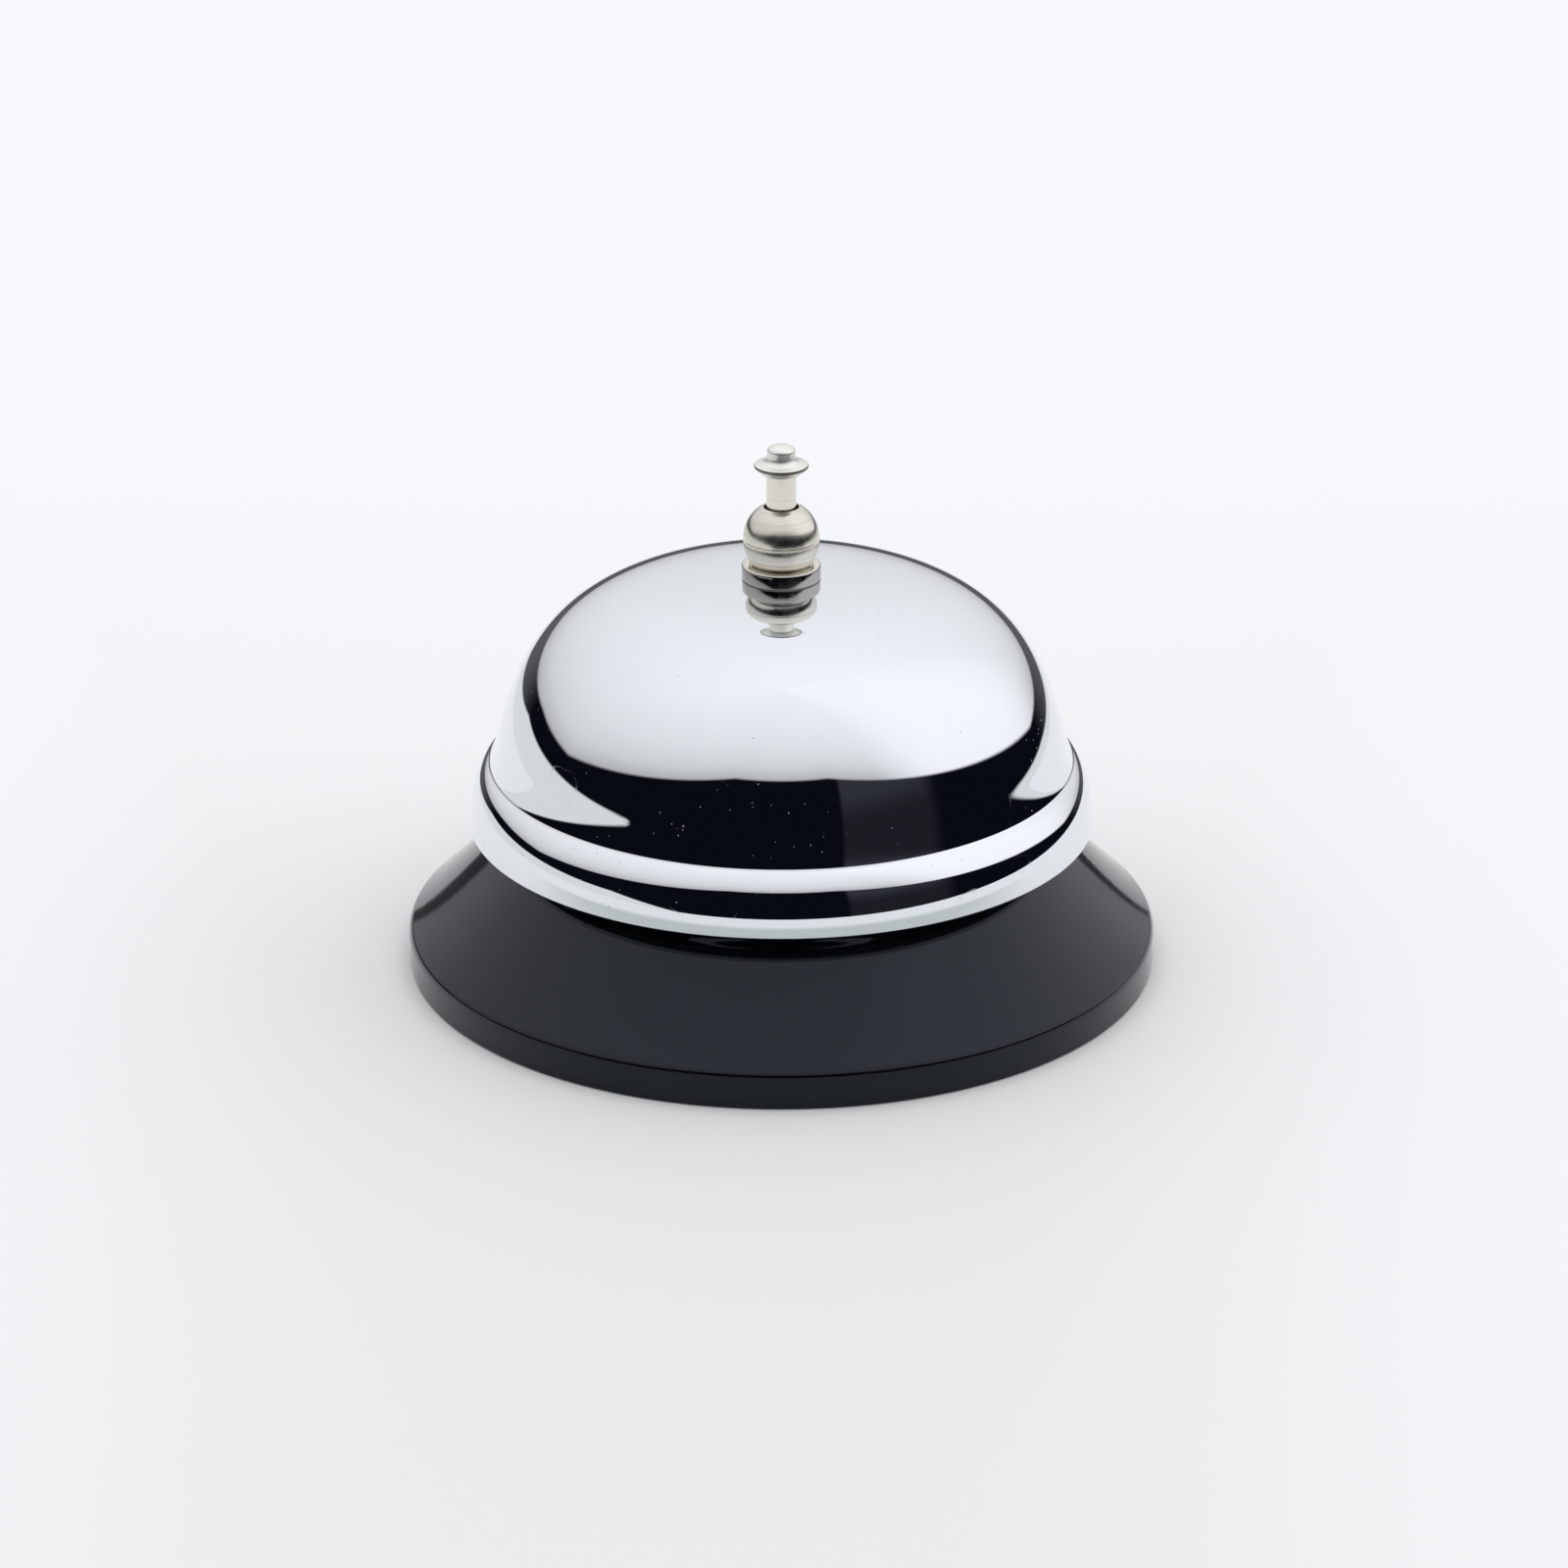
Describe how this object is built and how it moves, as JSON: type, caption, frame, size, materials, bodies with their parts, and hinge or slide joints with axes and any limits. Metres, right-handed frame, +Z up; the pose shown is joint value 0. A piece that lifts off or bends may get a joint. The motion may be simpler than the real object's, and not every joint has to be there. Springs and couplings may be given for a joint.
{
  "type": "service bell",
  "caption": "Counter service bell: round flared base, domed gong on a hollow post, and a spring-return push button that rocks a hammer against the gong.",
  "frame": {"origin": "on the resting plane, under the centre of the round base", "axes": "+Z up along the post and the push button; the striker lever lies along +X, and its pivot pin along Y"},
  "size_m": [0.085, 0.085, 0.0608],
  "materials": {
    "black_paint": "gloss black stoved paint",
    "dome_chrome": "mirror chrome plate",
    "nickel": "bright nickel plate with fine turning lines",
    "zinc_steel": "dull zinc plate",
    "spring_steel": "plain bright steel",
    "rubber": "matt black rubber",
    "nylon": "natural nylon",
    "fibre": "red vulcanised fibre"
  },
  "bodies": {
    "frame": {"base_shell": "black_paint", "foot_ring": "rubber", "center_post": "zinc_steel", "post_washer": "zinc_steel", "post_nut": "zinc_steel", "guide_bush": "nylon", "dome_seat_washer": "fibre", "bell_dome": "dome_chrome", "collar_ring": "nickel", "ball_nut": "nickel", "return_spring": "spring_steel", "striker_bracket": "zinc_steel", "bracket_rivet_left": "zinc_steel", "bracket_rivet_right": "zinc_steel", "pivot_pin": "spring_steel", "pivot_clip": "spring_steel", "rest_pad": "rubber"},
    "plunger": {"plunger_rod": "nickel", "push_button": "nickel", "plunger_clip": "spring_steel"},
    "striker": {"striker_arm": "zinc_steel", "striker_head": "spring_steel"}
  },
  "joints": [
    {"name": "plunger_press", "type": "slide", "parent": "frame", "child": "plunger", "axis": [0, 0, -1], "range_m": [0, 0.0036], "stiffness_N_per_m": 500, "springref_m": -0.003, "deforming": ["return_spring"]},
    {"name": "striker_swing", "type": "hinge", "parent": "frame", "child": "striker", "pos_m": [0.0095, 0, 0.0261], "axis": [0, -1, 0], "range_deg": [0, 24.34]}
  ],
  "couplings": [
    {"joint": "striker_swing", "follows": "plunger_press", "rad_per_m": 118}
  ]
}
